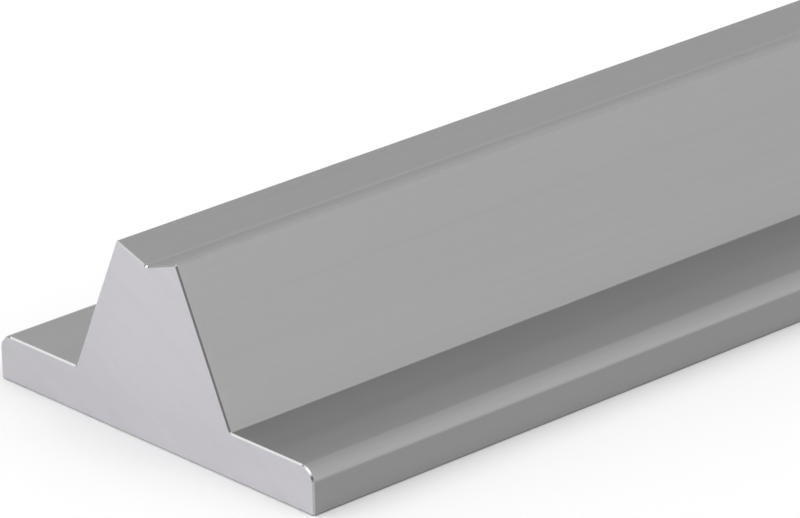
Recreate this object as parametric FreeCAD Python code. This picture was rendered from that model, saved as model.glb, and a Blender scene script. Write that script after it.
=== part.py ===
import FreeCAD, Part
import math
import os
from FreeCAD import Vector

# Shaft support rail: one solid aluminium extrusion, sawn to length, with no holes drilled in it.
# X runs across the rail, Y along it and Z up. The origin is the middle of the underside.
# All sizes are in millimetres and degrees.

length = 600.0

# Base slab, whose two sides are the flanges that get clamped or drilled
base_width = 57.0
base_thickness = 6.0
flange_edge_radius = 2.0
base_corner_radius = 0.25

# Web, which leans in on both sides from the base up to the two lips beside the shaft
web_top_width = 10.8
web_angle = 50.0
web_foot_radius = 0.3
lip_radius = 0.25

# Shaft that the rail carries, and the shallow V seat that it rests in
shaft_diameter = 25.0
shaft_centre_height = 36.0
seat_slope = 18.0
seat_root_radius = 1.3

# Small break on every edge of the two sawn ends
end_break = 0.2


def seat_height(x):
    # A flank of the V is tangent to the shaft, which sets how far below the shaft's centre it passes.
    slope = math.radians(seat_slope)
    root_height = shaft_centre_height - shaft_diameter / 2 / math.cos(slope)
    return root_height + abs(x) * math.tan(slope)


def right_side_corners():
    # The sharp corners of the section's right side, going up, each with the radius that rounds it.
    lip = Vector(web_top_width / 2, 0, seat_height(web_top_width / 2))
    web_lean = (lip.z - base_thickness) * math.tan(math.radians(web_angle / 2))
    return [
        (Vector(base_width / 2, 0, 0), base_corner_radius),
        (Vector(base_width / 2, 0, base_thickness), flange_edge_radius),
        (Vector(lip.x + web_lean, 0, base_thickness), web_foot_radius),
        (lip, lip_radius),
    ]


def section_corners():
    right = right_side_corners()
    root = (Vector(0, 0, seat_height(0)), seat_root_radius)
    left = [(Vector(-point.x, 0, point.z), radius) for point, radius in reversed(right)]
    return right + [root] + left


def rounded_corner(before, corner, after, radius):
    # The arc of this radius that is tangent to both lines meeting at the corner.
    back = (before - corner).normalize()
    onward = (after - corner).normalize()
    inward = (back + onward).normalize()
    half_angle = back.getAngle(onward) / 2
    setback = radius / math.tan(half_angle)
    depth = radius / math.sin(half_angle) - radius
    return Part.Arc(corner + back * setback, corner + inward * depth, corner + onward * setback)


def section_outline():
    corners = section_corners()
    arcs = []
    for index, (corner, radius) in enumerate(corners):
        before = corners[index - 1][0]
        after = corners[(index + 1) % len(corners)][0]
        arcs.append(rounded_corner(before, corner, after, radius))
    edges = []
    for arc, next_arc in zip(arcs, arcs[1:] + arcs[:1]):
        edges.append(arc.toShape())
        edges.append(Part.makeLine(arc.EndPoint, next_arc.StartPoint))
    return Part.Wire(edges)


def extruded_bar():
    bar = Part.Face(section_outline()).extrude(Vector(0, length, 0))
    bar.translate(Vector(0, -length / 2, 0))
    return bar


def end_edges(bar):
    # Every edge that lies wholly in the plane of one of the two sawn ends.
    edges = []
    for edge in bar.Edges:
        box = edge.BoundBox
        if box.YLength < end_break and length / 2 - abs(box.Center.y) < end_break:
            edges.append(edge)
    return edges


def support_rail():
    bar = extruded_bar()
    return bar.makeChamfer(end_break, end_edges(bar))


os.makedirs("parts", exist_ok=True)
rail = support_rail()
rail.exportStep("parts/support_rail.step")
print(f"support_rail: {rail.Volume / 1000:.1f} cm3, valid {rail.isValid()}, {len(rail.Faces)} faces")
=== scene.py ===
import bpy
import math
import random
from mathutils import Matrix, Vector


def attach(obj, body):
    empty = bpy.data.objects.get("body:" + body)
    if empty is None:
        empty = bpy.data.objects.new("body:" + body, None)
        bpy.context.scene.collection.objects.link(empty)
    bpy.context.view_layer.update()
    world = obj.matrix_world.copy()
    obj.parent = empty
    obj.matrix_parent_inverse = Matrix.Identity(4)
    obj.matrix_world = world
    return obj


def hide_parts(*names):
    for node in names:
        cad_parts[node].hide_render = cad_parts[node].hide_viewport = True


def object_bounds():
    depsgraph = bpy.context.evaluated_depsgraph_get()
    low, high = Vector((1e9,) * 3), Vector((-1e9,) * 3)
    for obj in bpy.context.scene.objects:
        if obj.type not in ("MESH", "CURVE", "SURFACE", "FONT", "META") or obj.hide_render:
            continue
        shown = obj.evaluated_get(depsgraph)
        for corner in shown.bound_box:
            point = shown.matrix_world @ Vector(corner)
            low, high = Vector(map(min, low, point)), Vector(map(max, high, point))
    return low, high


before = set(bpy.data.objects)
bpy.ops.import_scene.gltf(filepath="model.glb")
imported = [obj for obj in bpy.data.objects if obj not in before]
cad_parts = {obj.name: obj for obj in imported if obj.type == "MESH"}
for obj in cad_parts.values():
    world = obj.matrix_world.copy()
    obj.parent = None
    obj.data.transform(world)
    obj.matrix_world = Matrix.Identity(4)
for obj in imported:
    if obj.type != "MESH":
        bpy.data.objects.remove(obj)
cadLow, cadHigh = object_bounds()
print("frame loaded:", sorted(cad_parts))

mm = 0.001


# Shader maths

class Sock:
    # one output of a node; + - and * on it add Math nodes
    def __init__(self, tree, socket=None):
        self.tree = tree
        self.socket = socket

    def node(self, kind, settings=None, values=None, output=0):
        made = self.tree.nodes.new("ShaderNode" + kind)
        for name, value in (settings or {}).items():
            setattr(made, name, value)
        for name, value in (values or {}).items():
            if isinstance(value, Sock):
                self.tree.links.new(value.socket, made.inputs[name])
            else:
                made.inputs[name].default_value = value
        return Sock(self.tree, made.outputs[output] if made.outputs else None)

    def maths(self, operation, *values):
        return self.node("Math", {"operation": operation}, dict(enumerate(values)))

    def __add__(self, other):
        return self.maths("ADD", self, other)

    def __radd__(self, other):
        return self.maths("ADD", other, self)

    def __sub__(self, other):
        return self.maths("SUBTRACT", self, other)

    def __rsub__(self, other):
        return self.maths("SUBTRACT", other, self)

    def __mul__(self, other):
        return self.maths("MULTIPLY", self, other)

    def __rmul__(self, other):
        return self.maths("MULTIPLY", other, self)


def newMaterial(name):
    material = bpy.data.materials.new(name)
    material.use_nodes = True
    material.node_tree.nodes.clear()
    return material, Sock(material.node_tree)


def blendColour(net, factor, colourA, colourB):
    values = {0: factor, 6: colourA, 7: colourB}
    return net.node("Mix", {"data_type": "RGBA"}, values, output=2)


def grey(level, tint=(1, 1, 1)):
    return tuple(level * part for part in tint) + (1,)


def scaleColour(net, colour, factor):
    return net.node("VectorMath", {"operation": "SCALE"}, {0: colour, "Scale": factor})


def attribute(net, name):
    return net.node("Attribute", {"attribute_name": name}, output="Fac")


def noiseOf(net, grain, place):
    return net.node("TexNoise", None, {"Vector": place, "Scale": grain["scale"], "Detail": grain["detail"]})


def stray(start, finish, noises, part):
    # the start value, moved either way by each of the finish's noises
    return sum(((noise - 0.5) * finish["grains"][name][part] for name, noise in noises.items()), start)


def strayedShade(net, finish, noises):
    # the finish's colour, which strays by its cloud either way
    low, high = finish["colour"] * (1 - finish["cloud"]), finish["colour"] * (1 + finish["cloud"])
    factor = stray(0.5, finish, noises, "colour")
    return blendColour(net, factor, grey(low, finish["tint"]), grey(high, finish["tint"]))


def finishMaterial(net, values):
    shader = net.node("BsdfPrincipled", None, values)
    net.node("OutputMaterial", None, {"Surface": shader})


# The rail: its section, swept from end to end

rail = {
    "node": "support_rail",
    "slot": "aluminium",

    "baseThickness": 6.0 * mm,
    "flangeEdgeRadius": 2.0 * mm,
    "baseCornerRadius": 0.25 * mm,
    "webTopWidth": 10.8 * mm,
    "webAngle": 50.0,            # between the web's two sides, in degrees
    "webFootRadius": 0.3 * mm,
    "lipRadius": 0.25 * mm,
    "shaftDiameter": 25.0 * mm,
    "shaftCentreHeight": 36.0 * mm,
    "seatSlope": 18.0,           # of each flank of the V, in degrees
    "seatRootRadius": 1.3 * mm,
    "endBreak": 0.2 * mm,

    # the mesh
    "flatStep": 0.15 * mm,       # between points across the flat faces
    "arcSteps": 14,              # in each rounded corner
    # rings of points stand this far in from the break of each end
    "spanSteps": (1.0 * mm, 3.0 * mm, 8.0 * mm, 20.0 * mm, 60.0 * mm, 120.0 * mm, 200.0 * mm),

    # what the die leaves along the rail: waves across the section as (length, height), and fine scores
    "seed": 7,
    "waves": ((6.0 * mm, 0.0030 * mm), (1.1 * mm, 0.0010 * mm), (0.33 * mm, 0.0004 * mm)),
    "scores": 26,
    "scoreDepth": (0.0015 * mm, 0.0045 * mm),
    "scoreWidth": (0.18 * mm, 0.40 * mm),

    # painted light and shade on each face, beside the plain skin
    "paintedSideShade": (0.89, 0.76),    # painted shade on the two sides, most of all towards their upper edges
    "sideTurn": (0.975, 0.995),  # how squarely a face looks sideways, from none of that painted shade to all of it
    "paintedCornerShade": 0.45,               # how far painted shade darkens the lower corners
    "paintedFlankLight": 0.05,           # painted light on the right flank of the V
    "paintedRootLight": 0.05,            # and more painted light near its root
    "rootReach": 1.4 * mm,
    "webRise": (0.1, 0.9),       # the upward part of a web face's normal lies between these
    "paintedFootLight": 0.05,            # painted light on the web near its feet
    "footReach": 8.0 * mm,

    # painted highlights and painted dark notches on the ends' break: round the flange edges and at the
    # root, up to each angle of the normal in degrees from level, and along the flat flanges, which look
    # straight up
    "paintedEdgeBreakLights": ((12, 1.1), (30, 0.6), (45, 2.2), (67, 1.8), (80, 1.1), (90, 0.3)),
    "paintedRootBreakLights": ((81, 0.3), (90, 1.5)),
    "paintedFlangeBreakLight": 1.15,
    "flangeRise": 85,            # a flat flange's normal is steeper than this

    # wear, which fades away from the lips and from the ends
    "lipWearReach": 0.35 * mm,
    "endWear": 0.8,
    "endWearReach": 0.6 * mm,
}

skinFace, sawnFace, brokenFace = range(3)     # the order of the rail's materials


def seatHeight(x):
    # each flank of the V is tangent to the shaft
    slope = math.radians(rail["seatSlope"])
    root = rail["shaftCentreHeight"] - rail["shaftDiameter"] / 2 / math.cos(slope)
    return root + abs(x) * math.tan(slope)


def sectionCorners():
    halfBase = cadHigh.x
    halfTop = rail["webTopWidth"] / 2
    lipHeight = seatHeight(halfTop)
    lean = math.tan(math.radians(rail["webAngle"] / 2))
    foot = halfTop + (lipHeight - rail["baseThickness"]) * lean
    right = [
        (halfBase, 0.0, rail["baseCornerRadius"]),
        (halfBase, rail["baseThickness"], rail["flangeEdgeRadius"]),
        (foot, rail["baseThickness"], rail["webFootRadius"]),
        (halfTop, lipHeight, rail["lipRadius"]),
    ]
    left = [(-x, z, radius) for x, z, radius in reversed(right)]
    return right + [(0.0, seatHeight(0), rail["seatRootRadius"])] + left


def cornerArc(before, corner, after, radius):
    # points and outward normals round one corner, going the way the section runs
    into = (corner - before).normalized()
    out = (after - corner).normalized()
    normalIn, normalOut = Vector((into.y, -into.x)), Vector((out.y, -out.x))
    turn = math.atan2(into.x * out.y - into.y * out.x, into.dot(out))
    side = 1 if turn > 0 else -1
    start = corner - into * radius * abs(math.tan(turn / 2))
    centre = start - normalIn * radius * side
    arc = []
    for step in range(rail["arcSteps"] + 1):
        angle = turn * step / rail["arcSteps"]
        normal = Vector((
            normalIn.x * math.cos(angle) - normalIn.y * math.sin(angle),
            normalIn.x * math.sin(angle) + normalIn.y * math.cos(angle),
        ))
        arc.append((centre + normal * radius * side, normal))
    return arc


def clamp(share):
    return min(1.0, max(0.0, share))


def paintedShadingAt(point, normal):
    # painted light and shade: each face a little lighter or darker than its neighbours
    # painted shade on the sides, darkest towards their upper edges
    low, high = rail["paintedSideShade"]
    sideHeight = rail["baseThickness"] - rail["flangeEdgeRadius"]
    paintedSideShade = low + (high - low) * clamp(point.y / sideHeight)
    none, full = rail["sideTurn"]
    paintedShading = 1 - (1 - paintedSideShade) * clamp((abs(normal.x) - none) / (full - none))
    # painted shade along the lower corners
    lowerCorner = max(0.0, -2 * abs(normal.x) * normal.y)      # 1 half way round a lower corner
    paintedShading *= 1 - rail["paintedCornerShade"] * lowerCorner
    aboveBase = point.y - rail["baseThickness"]
    leastRise, mostRise = rail["webRise"]
    if normal.y > 0 and abs(point.x) < rail["webTopWidth"] / 2:
        # painted light on the right flank of the V, more near its root
        lift = rail["paintedFlankLight"] + rail["paintedRootLight"] * math.exp(-(point.x / rail["rootReach"]) ** 2)
        # the painted light grows from none on the root's left to the whole of it on its right
        paintedShading *= 1 + lift * clamp(point.x / rail["seatRootRadius"] + 0.5)
    elif leastRise < normal.y < mostRise and aboveBase > 0:
        # painted light on the web near its feet
        paintedShading *= 1 + rail["paintedFootLight"] * clamp(1 - aboveBase / rail["footReach"])
    return paintedShading


def paintedBreakLightAt(point, normal):
    # painted highlights on the break of the ends beside this point, with painted dark notches where the
    # section turns
    rise = math.degrees(math.atan2(normal.y, abs(normal.x)))
    if abs(point.x) > cadHigh.x - rail["flangeEdgeRadius"] and 0 < rise < 90:
        marks = rail["paintedEdgeBreakLights"]
    elif abs(point.x) < rail["seatRootRadius"] / 2 and rise > 90 - rail["seatSlope"]:
        marks = rail["paintedRootBreakLights"]
    elif rise > rail["flangeRise"]:
        return rail["paintedFlangeBreakLight"]
    else:
        return 1.0
    return next(paintedBreakLight for limit, paintedBreakLight in marks if rise <= limit)


def sectionLine():
    # the whole section in order as (point, outward normal), without its die marks, and the two lips
    corners = [(Vector((x, z)), radius) for x, z, radius in sectionCorners()]
    arcs = []
    for index, (corner, radius) in enumerate(corners):
        before, after = corners[index - 1][0], corners[(index + 1) % len(corners)][0]
        arcs.append(cornerArc(before, corner, after, radius))
    line = []
    for arc, following in zip(arcs, arcs[1:] + arcs[:1]):
        line += arc
        start, end = arc[-1][0], following[0][0]
        steps = max(2, round((end - start).length / rail["flatStep"]))
        line += [(start.lerp(end, step / steps), arc[-1][1]) for step in range(1, steps)]
    root = len(arcs) // 2
    lips = [arc[len(arc) // 2][0] for arc in (arcs[root - 1], arcs[root + 1])]
    return line, lips


def markDepths(line):
    # how far along the section each point is, its whole length, and how deep the die marks are at each
    # point: smooth waves and a few scores added up, from the highest inwards
    rng = random.Random(rail["seed"])
    reach = [0.0]
    for (point, _), (following, _) in zip(line, line[1:]):
        reach.append(reach[-1] + (following - point).length)
    total = reach[-1] + (line[0][0] - line[-1][0]).length
    depths = [0.0] * len(line)
    for length, height in rail["waves"]:
        count = round(total / length)
        knots = [rng.uniform(-height, height) for _ in range(count)]
        for index, place in enumerate(reach):
            knot, share = divmod(place / total * count, 1)
            share = share * share * (3 - 2 * share)            # eases in and out of each knot
            low, high = knots[int(knot) % count], knots[(int(knot) + 1) % count]
            depths[index] += low + (high - low) * share
    for _ in range(rail["scores"]):
        middle = rng.uniform(0, total)
        width = rng.uniform(*rail["scoreWidth"])
        depth = rng.uniform(*rail["scoreDepth"])
        for index, place in enumerate(reach):
            away = abs(place - middle) / (width / 2)
            if away < 1:
                depths[index] -= depth * (1 + math.cos(math.pi * away)) / 2
    highest = max(depths)
    return reach, total, [depth - highest for depth in depths]


def markedSection():
    # points, normals, painted shading, painted break light and wear, with the die marks in the points and
    # normals themselves
    line, lips = sectionLine()
    reach, total, depths = markDepths(line)
    points, normals, paintedShadings, paintedBreakLights, wears = [], [], [], [], []
    count = len(line)
    for index, (point, normal) in enumerate(line):
        before, after = index - 1, (index + 1) % count
        run = (reach[after] - reach[before]) % total
        slope = (depths[after] - depths[before]) / run
        along = Vector((-normal.y, normal.x))
        points.append(point + normal * depths[index])
        normals.append((normal - along * slope).normalized())
        paintedShadings.append(paintedShadingAt(point, normal))
        paintedBreakLights.append(paintedBreakLightAt(point, normal))
        near = min((point - lip).length for lip in lips)
        wears.append(math.exp(-near / rail["lipWearReach"]))
    return points, normals, paintedShadings, paintedBreakLights, wears


def ringStations():
    # (place along Y, inset) of each ring of points, near end first
    half = cadHigh.y
    steps = [rail["endBreak"]] + [rail["endBreak"] + step for step in rail["spanSteps"]]
    near = [(-half, rail["endBreak"])] + [(-half + step, 0.0) for step in steps]
    far = [(-y, inset) for y, inset in reversed(near)]
    return near + far


def buildRail():
    points, normals, paintedShadings, paintedBreakLights, wears = markedSection()
    count = len(points)
    stations = ringStations()
    vertices, wearLevels = [], []
    for y, inset in stations:
        fromEnd = cadHigh.y - abs(y)
        endWear = rail["endWear"] * math.exp(-fromEnd / rail["endWearReach"])
        for point, normal, wear in zip(points, normals, wears):
            place = point - normal * inset
            vertices.append((place.x, y, place.y))
            wearLevels.append(min(1.0, wear + endWear))
    lastRing = range((len(stations) - 1) * count, len(stations) * count)
    faces = [tuple(range(count)), tuple(reversed(lastRing))]
    kinds = [sawnFace, sawnFace]
    for row in range(len(stations) - 1):
        isBreak = row in (0, len(stations) - 2)
        for index in range(count):
            following = (index + 1) % count
            low, high = row * count, (row + 1) * count
            faces.append((low + index, high + index, high + following, low + following))
            kinds.append(brokenFace if isBreak else skinFace)
    mesh = bpy.data.meshes.new("rail")
    mesh.from_pydata(vertices, [], faces)
    mesh.polygons.foreach_set("material_index", kinds)
    mesh.polygons.foreach_set("use_smooth", [True] * len(faces))
    levels = {"wear": wearLevels, "paintedShading": paintedShadings * len(stations), "paintedBreakLight": paintedBreakLights * len(stations)}
    for name, values in levels.items():
        mesh.attributes.new(name, "FLOAT", "POINT").data.foreach_set("value", values)
    mesh.update()
    setNormals(mesh, normals, count, len(stations))
    return mesh


def setNormals(mesh, normals, count, rings):
    # each corner of a face gets the section's own normal, so that rounded edges shade as one curve
    cornerNormals = []
    for polygon in mesh.polygons:
        for vertex in polygon.vertices:
            ring, index = divmod(vertex, count)
            across = Vector((normals[index].x, 0, normals[index].y))
            outward = Vector((0, -1 if ring < rings / 2 else 1, 0))
            if polygon.material_index == sawnFace:
                cornerNormals.append(outward)
            elif polygon.material_index == brokenFace:
                cornerNormals.append((across + outward).normalized())
            else:
                cornerNormals.append(across)
    mesh.normals_split_custom_set(cornerNormals)


# Finishes

# a finish's grains are noises: scale is about how many fit in a metre, and colour and roughness are how far
# the noise moves each of those

skin = {
    "colour": 0.38,
    "tint": (1, 1, 1),
    "cloud": 0.05,               # how far the colour strays either way
    "roughness": 0.45,
    "drawn": (1, 0.004, 1),      # the die draws its marks out along the rail
    "grains": {
        "lines": {"scale": 2600.0, "detail": 3.0, "colour": 0.9, "roughness": 0.08},
        "bands": {"scale": 260.0, "detail": 2.0, "colour": 0.5, "roughness": 0.0},
        "clouds": {"scale": 28.0, "detail": 3.0, "colour": 0.7, "roughness": 0.06},
        "specks": {"scale": 700.0, "detail": 3.0, "colour": 0.4, "roughness": 0.05},
    },
    "bump": {"Strength": 0.25, "Distance": 0.004 * mm},
    "worn": 0.45,                # the colour of an edge that has been rubbed bright
    "wornSpecks": (0.45, 0.75),  # it wears through in specks, between these levels
    "wornShare": 0.35,
    "wornPolish": 0.10,          # how much smoother it is there
}

sawn = {
    "colour": 0.572,
    "tint": (0.985, 0.965, 1.02),
    "cloud": 0.045,
    "roughness": 0.5,
    "bladeCentre": (-70.0 * mm, 0.0, -110.0 * mm),
    "grains": {
        "arcs": {"scale": 1500.0, "detail": 3.0, "colour": 0.9, "roughness": 0.10},
        "clouds": {"scale": 90.0, "detail": 3.0, "colour": 0.5, "roughness": 0.05},
        "specks": {"scale": 1600.0, "detail": 2.0, "colour": 0.3, "roughness": 0.0},
    },
    "bump": {"Strength": 0.5, "Distance": 0.01 * mm},
    "paintedShadeSpan": (-28.0 * mm, -3.0 * mm),      # between these the end gets painted shade, darker towards the left
    "paintedEndShade": 0.91,
    "paintedLightHeight": 4.0 * mm,      # below this height it gets painted light, brighter towards the bottom
    "paintedFootLight": 1.08,
}

broken = {
    "colour": 0.42,
    "tint": (1, 1, 1),
    "cloud": 0.06,
    "roughness": 0.18,
    "grains": {
        "strokes": {"scale": 1400.0, "detail": 2.0, "colour": 1.0, "roughness": 0.10},
    },
}


def skinMaterial():
    # mill finish: drawn lines, soft clouds, and lips rubbed bright
    material, net = newMaterial("extrudedSkin")
    grains = skin["grains"]
    place = net.node("TexCoord", output="Object")
    drawn = net.node("VectorMath", {"operation": "MULTIPLY"}, {0: place, 1: skin["drawn"]})
    noises = {name: noiseOf(net, grains[name], drawn) for name in ("lines", "bands")}
    noises |= {name: noiseOf(net, grains[name], place) for name in ("clouds", "specks")}
    # the skin's colour is scaled by the painted light and shade of each face
    shadedColour = scaleColour(net, strayedShade(net, skin, noises), attribute(net, "paintedShading"))
    low, high = skin["wornSpecks"]
    wornPatch = {"Value": noises["specks"], "From Min": low, "From Max": high, "To Max": skin["wornShare"]}
    worn = attribute(net, "wear") * net.node("MapRange", None, wornPatch)
    colour = blendColour(net, worn, shadedColour, grey(skin["worn"]))
    roughness = stray(skin["roughness"], skin, noises, "roughness") - worn * skin["wornPolish"]
    bump = net.node("Bump", None, {"Height": noises["lines"]} | skin["bump"])
    finishMaterial(net, {"Base Color": colour, "Metallic": 1.0, "Roughness": roughness, "Normal": bump})
    return material


def sawnMaterial():
    # a circular saw leaves arcs about its blade's centre, some deeper than others
    material, net = newMaterial("sawnEnd")
    grains = sawn["grains"]
    place = net.node("TexCoord", output="Object")
    span = {0: place, 1: sawn["bladeCentre"]}
    fromBlade = net.node("VectorMath", {"operation": "DISTANCE"}, span, output="Value")
    arcs = {"W": fromBlade, "Scale": grains["arcs"]["scale"], "Detail": grains["arcs"]["detail"]}
    noises = {"arcs": net.node("TexNoise", {"noise_dimensions": "1D"}, arcs)}
    noises |= {name: noiseOf(net, grains[name], place) for name in ("clouds", "specks")}
    across = net.node("SeparateXYZ", None, {"Vector": place}, output="X")
    height = net.node("SeparateXYZ", None, {"Vector": place}, output="Z")
    # painted shade towards the left of the end and painted light near its foot scale its colour
    left, right = sawn["paintedShadeSpan"]
    side = {"Value": across, "From Min": left, "From Max": right, "To Min": sawn["paintedEndShade"], "To Max": 1.0}
    foot = {"Value": height, "From Max": sawn["paintedLightHeight"], "To Min": sawn["paintedFootLight"], "To Max": 1.0}
    paintedShading = net.node("MapRange", None, side) * net.node("MapRange", None, foot)
    colour = scaleColour(net, strayedShade(net, sawn, noises), paintedShading)
    roughness = stray(sawn["roughness"], sawn, noises, "roughness")
    bump = net.node("Bump", None, {"Height": noises["arcs"]} | sawn["bump"])
    finishMaterial(net, {"Base Color": colour, "Metallic": 1.0, "Roughness": roughness, "Normal": bump})
    return material


def brokenMaterial():
    # the narrow break round each end, left bright by a file, its colour scaled by painted highlights and
    # painted dark notches
    material, net = newMaterial("brokenEdge")
    place = net.node("TexCoord", output="Object")
    noises = {"strokes": noiseOf(net, broken["grains"]["strokes"], place)}
    # painted highlights and painted dark notches scale the break's colour
    colour = scaleColour(net, strayedShade(net, broken, noises), attribute(net, "paintedBreakLight"))
    roughness = stray(broken["roughness"], broken, noises, "roughness")
    finishMaterial(net, {"Base Color": colour, "Metallic": 1.0, "Roughness": roughness})
    return material


def makeRail():
    mesh = buildRail()
    piece = bpy.data.objects.new("rail_extrusion", mesh)
    bpy.context.scene.collection.objects.link(piece)
    for material in (skinMaterial(), sawnMaterial(), brokenMaterial()):      # the order given above
        mesh.materials.append(material)
    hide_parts(rail["node"])
    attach(piece, "root")
    print("rail:", len(mesh.vertices), "points,", len(mesh.polygons), "faces")


# Floor, lights and camera

floor = {
    "radius": 2.6,               # inside the ring of lights
    "solid": 1.2,                # from here to its rim it fades into the background
    "sides": 96,
    "colour": 0.97,
    "roughness": 0.9,
}

world = {
    "sky": 0.37,
    "horizon": 0.96,
    "fade": (0.0, 0.066),        # the horizon turns into the sky between these heights, 1 being straight up
}

# soft boxes stand evenly in rings round the near end and face it; azimuth runs in degrees from the front
# towards the right, and a brightness of 1 looks white
softBoxes = {
    "distance": 3.0,
    # going round from behind, each side of the studio reaches up to this azimuth
    "sides": (
        ("back", -130), ("left", -75), ("front", 15), ("right", 100), ("backRight", 135), ("back", 180),
    ),
    "rings": {
        "low": {
            "height": 12.0,
            "count": 12,
            "size": (1.55, 1.25),
            # none on the right, where the camera stands, since it would glint in the break of the near end
            "brightness": {"front": 1.2, "right": 0.0, "backRight": 0.9, "back": 0.5, "left": 0.4},
        },
        "middle": {
            "height": 38.0,
            "count": 10,
            "size": (1.45, 1.25),
            "brightness": {"front": 1.3, "right": 0.8, "backRight": 1.3, "back": 0.5, "left": 0.9},
        },
        "high": {
            "height": 64.0,
            "count": 6,
            "size": (1.35, 1.20),
            "brightness": {"front": 0.8, "right": 0.8, "backRight": 1.4, "back": 0.4, "left": 0.9},
        },
        "top": {
            "height": 88.0,
            "count": 1,
            "size": (1.0, 1.0),
            "brightness": {"back": 0.4},
        },
    },
}

camera = {
    "place": (0.496086, -0.704814, 0.285811),
    "aim": (0.013898, -0.272710, 0.019762),
    "roll": -1.444,
    "lens": 267.13,
    "sensor": 36.0,
    "clip": (0.01, 100.0),
}


def floorMaterial():
    material, net = newMaterial("paleFloor")
    place = net.node("TexCoord", output="Object")
    reach = net.node("VectorMath", {"operation": "LENGTH"}, {0: place}, output="Value")
    edge = {"Value": reach, "From Min": floor["solid"], "From Max": floor["radius"]}
    fade = net.node("MapRange", None, edge)
    finish = {"Base Color": grey(floor["colour"]), "Roughness": floor["roughness"]}
    paint = net.node("BsdfPrincipled", None, finish)
    surface = net.node("MixShader", None, {0: fade, 1: paint, 2: net.node("BsdfTransparent")})
    net.node("OutputMaterial", None, {"Surface": surface})
    return material


def makeFloor():
    # a round plate, so that it fades out alike on every side
    mesh = bpy.data.meshes.new("floor")
    turns = [2 * math.pi * side / floor["sides"] for side in range(floor["sides"])]
    rim = [(floor["radius"] * math.cos(turn), floor["radius"] * math.sin(turn), 0) for turn in turns]
    mesh.from_pydata(rim, [], [tuple(range(len(rim)))])
    piece = bpy.data.objects.new("floor", mesh)
    bpy.context.scene.collection.objects.link(piece)
    mesh.materials.append(floorMaterial())


def makeWorld():
    # pale towards the horizon, so that the floor has no hard end in a low view
    shades = bpy.data.worlds.new("studio")
    bpy.context.scene.world = shades
    shades.use_nodes = True
    shades.node_tree.nodes.clear()
    net = Sock(shades.node_tree)
    way = net.node("TexCoord", output="Generated")
    height = net.node("SeparateXYZ", None, {"Vector": way}, output="Z")
    low, high = world["fade"]
    share = net.node("MapRange", None, {"Value": height, "From Min": low, "From Max": high})
    colour = blendColour(net, share, grey(world["horizon"]), grey(world["sky"]))
    background = net.node("Background", None, {"Color": colour})
    net.node("OutputWorld", None, {"Surface": background})


def makeSoftBox(name, azimuth, height, size, brightness):
    lamp = bpy.data.lights.new(name, "AREA")
    lamp.shape = "RECTANGLE"
    lamp.size, lamp.size_y = size
    lamp.energy = math.pi * size[0] * size[1] * brightness      # watts that give the box this brightness
    holder = bpy.data.objects.new(name, lamp)
    bpy.context.scene.collection.objects.link(holder)
    turn, rise = math.radians(azimuth), math.radians(height)
    way = Vector((math.sin(turn) * math.cos(rise), -math.cos(turn) * math.cos(rise), math.sin(rise)))
    holder.location = Vector((0, cadLow.y, 0)) + way * softBoxes["distance"]
    holder.rotation_euler = way.to_track_quat("Z", "Y").to_euler()
    holder.visible_camera = False


def makeSoftBoxes():
    for name, ring in softBoxes["rings"].items():
        for index in range(ring["count"]):
            azimuth = 360 * index / ring["count"] - 180
            side = next(side for side, limit in softBoxes["sides"] if azimuth <= limit)
            brightness = ring["brightness"][side]
            if brightness > 0:
                makeSoftBox(f"{name}Box{index}", azimuth, ring["height"], ring["size"], brightness)


def makeCamera():
    lens = bpy.data.cameras.new("camera")
    lens.lens, lens.sensor_width = camera["lens"], camera["sensor"]
    lens.clip_start, lens.clip_end = camera["clip"]
    holder = bpy.data.objects.new("camera", lens)
    bpy.context.scene.collection.objects.link(holder)
    place, aim = Vector(camera["place"]), Vector(camera["aim"])
    look = (aim - place).to_track_quat("-Z", "Y").to_matrix()
    holder.location = place
    holder.rotation_euler = look.to_euler()
    holder.rotation_euler.rotate_axis("Z", math.radians(camera["roll"]))
    bpy.context.scene.camera = holder


makeRail()
makeFloor()
makeWorld()
makeSoftBoxes()
makeCamera()
bpy.context.scene.view_settings.view_transform = "Standard"
print("floor, lights and camera set")
